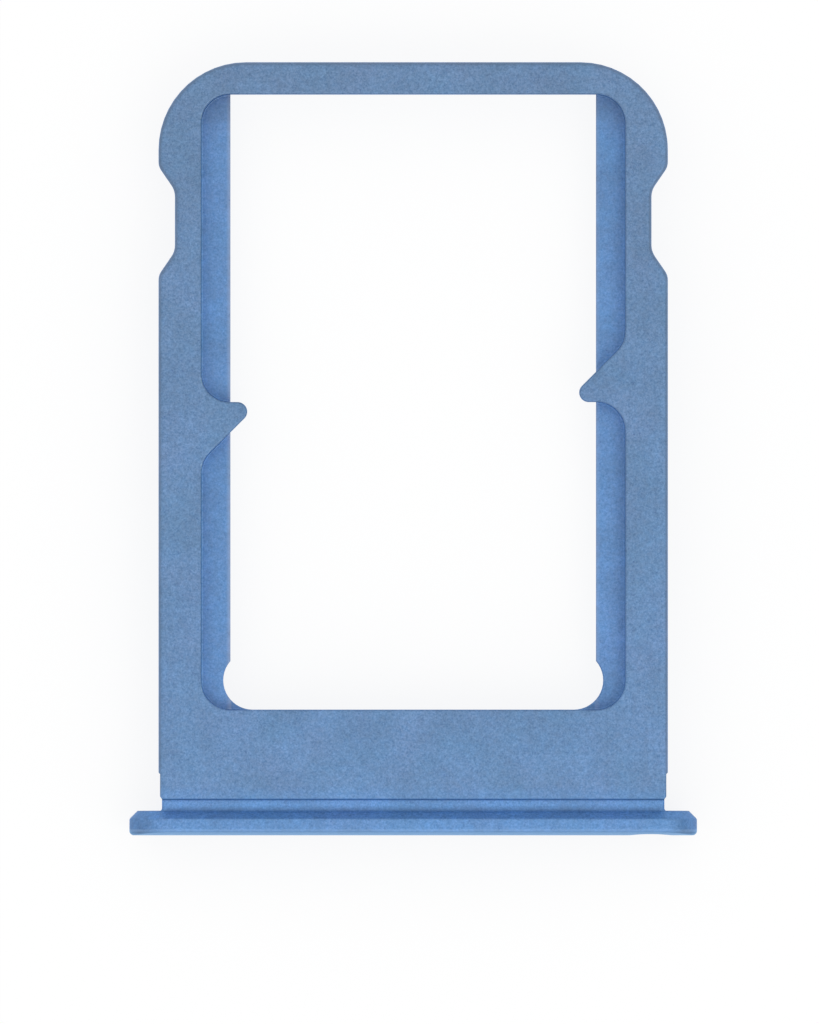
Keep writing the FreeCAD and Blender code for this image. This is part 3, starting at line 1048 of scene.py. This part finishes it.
def anodised_aluminium(settings):
    """Bead-blasted aluminium under a dyed oxide layer, on Object coordinates, with painted
    shade, light and highlights in its colour.
    """
    material = bpy.data.materials.new("blue_anodised_aluminium")
    material.use_nodes = True
    tree = material.node_tree
    shader = tree.nodes["Principled BSDF"]
    shader.inputs["Metallic"].default_value = 1.0
    place = TrayPlace(tree)
    grain = add_noise(
        tree, "Bead grain", (-1900, 500), place.point, settings.grain_size,
        detail=2.0, distortion=0.4,
    ).outputs["Fac"]
    on_face = add_ramp(
        tree, "Face of the head", (-1500, -1350), place.along,
        *FACE_BORDER, 1.0, 0.0, smooth=False,
    )
    colour = dye_colour(tree, place, settings, grain, on_face)
    tree.links.new(colour, shader.inputs["Base Color"])

    # Rougher on the tips of the grain, and smoother on the face of the head
    rough = add_ramp(
        tree, "Blasted roughness", (100, 100), grain,
        *ROUGH_STRETCH, settings.least_roughness, settings.most_roughness, smooth=False,
    )
    smoother = add_math(
        tree, "MULTIPLY", "Smoother face", (100, -50), on_face, settings.face_smoothing
    )
    roughness = add_math(tree, "SUBTRACT", "Roughness", (300, 100), rough, smoother)
    tree.links.new(roughness, shader.inputs["Roughness"])

    bump = add_node(tree, "ShaderNodeBump", "Dimples", (300, -300), Strength=1.0)
    bump.inputs["Distance"].default_value = settings.dimple_depth
    tree.links.new(grain, bump.inputs["Height"])
    tree.links.new(bump.outputs["Normal"], shader.inputs["Normal"])
    tree.links.new(bump.outputs["Normal"], shader.inputs["Coat Normal"])

    # Thinner clear layer on the face, and a purer cast where it is seen at a slant
    slant = add_mix(
        tree, "Cast at a slant", (500, -500), on_face,
        opaque(settings.slant_colour), opaque(settings.face_slant_colour),
    )
    tree.links.new(slant, shader.inputs["Specular Tint"])
    layer = add_ramp(
        tree, "Clear layer", (500, -700), on_face,
        0.0, 1.0, settings.clear_layer, settings.face_clear_layer, smooth=False,
    )
    tree.links.new(layer, shader.inputs["Coat Weight"])
    shader.inputs["Coat Roughness"].default_value = settings.clear_layer_roughness
    shader.inputs["Coat IOR"].default_value = settings.clear_layer_index

    # Faint haze on the face, seen only along the surface
    near_face = add_ramp(
        tree, "Hazy part", (300, -900), place.along, *HAZE_BORDER, 1.0, 0.0
    )
    haze = add_product(tree, "Haze", (500, -900), near_face, settings.haze)
    tree.links.new(haze, shader.inputs["Sheen Weight"])
    shader.inputs["Sheen Roughness"].default_value = settings.haze_roughness
    shader.inputs["Sheen Tint"].default_value = opaque(settings.haze_colour)

    shader.location = (900, 300)
    tree.nodes["Material Output"].location = (1200, 300)
    return material


class TRAY_OT_anodise(bpy.types.Operator):
    """Give the tray its bead-blasted, anodised finish"""

    bl_idname = "tray.anodise"
    bl_label = "Anodise the tray"

    def execute(self, context):
        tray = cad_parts[TRAY]
        material = anodised_aluminium(context.scene.tray_finish)
        if not tray.material_slots:
            raise RuntimeError("the tray has no material slot")
        for slot in tray.material_slots:
            slot.material = material
        return {"FINISHED"}


def floor_material(settings):
    """Plain pale floor that keeps a faint shadow."""
    material = bpy.data.materials.new("pale_floor")
    material.use_nodes = True
    tree = material.node_tree
    shader = tree.nodes["Principled BSDF"]
    shader.inputs["Base Color"].default_value = opaque(settings.floor_colour)
    shader.inputs["Roughness"].default_value = 1.0
    shader.inputs["Specular IOR Level"].default_value = 0.0
    white = add_node(tree, "ShaderNodeEmission", "White", (-200, -300), Strength=1.0)
    rays = add_node(tree, "ShaderNodeLightPath", "Rays", (-800, 300))
    seen = add_math(
        tree, "MAXIMUM", "Camera or glossy", (-600, 300),
        rays.outputs["Is Camera Ray"], rays.outputs["Is Glossy Ray"],
    )
    seen = add_math(
        tree, "MAXIMUM", "Or through glass", (-400, 300),
        seen, rays.outputs["Is Transmission Ray"],
    )
    share = add_math(tree, "MULTIPLY", "Glow", (-200, 300), seen, settings.floor_glow)
    mix = add_node(tree, "ShaderNodeMixShader", "Floor", (300, 100))
    tree.links.new(share, mix.inputs["Fac"])
    tree.links.new(shader.outputs["BSDF"], mix.inputs[1])
    tree.links.new(white.outputs["Emission"], mix.inputs[2])
    tree.links.new(mix.outputs["Shader"], tree.nodes["Material Output"].inputs["Surface"])
    return material


def make_floor(settings):
    """Round floor under the tray."""
    low = cad_box[0]
    bpy.ops.mesh.primitive_circle_add(
        vertices=FLOOR_CORNERS, radius=settings.floor_radius, fill_type="NGON",
        location=(0.0, 0.0, low.z),
    )
    floor = bpy.context.object
    floor.name = "floor"
    floor.data.materials.append(floor_material(settings))


def make_sky(settings):
    """World that is brighter overhead than at the horizon."""
    world = bpy.data.worlds.new("studio")
    bpy.context.scene.world = world
    world.use_nodes = True
    tree = world.node_tree
    background = tree.nodes["Background"]
    ways = add_node(tree, "ShaderNodeTexCoord", "Direction", (-900, 0))
    parts = add_node(tree, "ShaderNodeSeparateXYZ", "Split", (-700, 0))
    tree.links.new(ways.outputs["Generated"], parts.inputs["Vector"])
    height = parts.outputs["Z"]
    above_backdrop = add_ramp(
        tree, "Backdrop to wall", (-500, 100), height,
        *BACKDROP_BORDER, settings.horizon_level, settings.wall_level,
    )
    overhead = add_ramp(
        tree, "Wall to ceiling", (-500, -200), height,
        *CEILING_BORDER, 0.0, settings.sky_level - settings.wall_level,
    )
    level = add_math(tree, "ADD", "Level", (-250, 0), above_backdrop, overhead)
    tree.links.new(level, background.inputs["Strength"])
    background.inputs["Color"].default_value = (1.0, 1.0, 1.0, 1.0)


def make_lamp(name, place, size, level):
    """Soft square lamp that looks at the tray."""
    lamp = bpy.data.lights.new(name, "AREA")
    lamp.shape = "SQUARE"
    lamp.size = size
    lamp.energy = level * math.pi * size**2
    holder = bpy.data.objects.new(name, lamp)
    bpy.context.scene.collection.objects.link(holder)
    holder.location = place
    aim = -holder.location
    holder.rotation_euler = aim.to_track_quat("-Z", "Y").to_euler()


def make_camera(settings):
    """Camera straight above, framed as the photograph is."""
    low, high = cad_box
    top = high.z - FRAME_TOP_UNDER_HEAD_TOP
    across = (FRAME_WIDTH_PX / 2 - MIDLINE_X_PX) / PX_PER_MM * MM
    along = low.y + (HEAD_FACE_Y_PX - FRAME_HEIGHT_PX / 2) / PX_PER_MM * MM
    field_height = FRAME_HEIGHT_PX / PX_PER_MM * MM
    data = bpy.data.cameras.new("camera")
    data.lens = data.sensor_width * settings.camera_distance / field_height
    data.clip_start, data.clip_end = CLIPPING
    camera = bpy.data.objects.new("camera", data)
    bpy.context.scene.collection.objects.link(camera)
    camera.location = (across, along, top + settings.camera_distance)
    bpy.context.scene.camera = camera


class TRAY_OT_studio(bpy.types.Operator):
    """Set the floor, the sky, the lamps and the camera"""

    bl_idname = "tray.studio"
    bl_label = "Build the studio"

    def execute(self, context):
        settings = context.scene.tray_studio
        make_floor(settings)
        make_sky(settings)
        size = settings.lamp_size
        make_lamp("high_lamp", HIGH_LAMP_PLACE, size, settings.high_level)
        make_lamp("low_lamp", LOW_LAMP_PLACE, size, settings.low_level)
        make_camera(settings)
        context.scene.view_settings.view_transform = "Standard"
        return {"FINISHED"}


class TRAY_PT_looks(bpy.types.Panel):
    """Looks of the card tray"""

    bl_label = "Card tray"
    bl_space_type = "VIEW_3D"
    bl_region_type = "UI"
    bl_category = "Card tray"

    def draw(self, context):
        column = self.layout.column()
        scene = context.scene
        for name, group in (("Finish", scene.tray_finish), ("Studio", scene.tray_studio)):
            column.label(text=name)
            for key in group.__annotations__:
                column.prop(group, key)
        column.operator(TRAY_OT_anodise.bl_idname)
        column.operator(TRAY_OT_studio.bl_idname)


CLASSES = (
    TrayFinishSettings,
    TrayStudioSettings,
    TRAY_OT_anodise,
    TRAY_OT_studio,
    TRAY_PT_looks,
)


def register():
    for each in CLASSES:
        bpy.utils.register_class(each)
    bpy.types.Scene.tray_finish = PointerProperty(type=TrayFinishSettings)
    bpy.types.Scene.tray_studio = PointerProperty(type=TrayStudioSettings)


def unregister():
    del bpy.types.Scene.tray_studio
    del bpy.types.Scene.tray_finish
    for each in reversed(CLASSES):
        bpy.utils.unregister_class(each)


def main():
    register()
    bpy.ops.tray.anodise()
    bpy.ops.tray.studio()


if __name__ == "__main__":
    main()
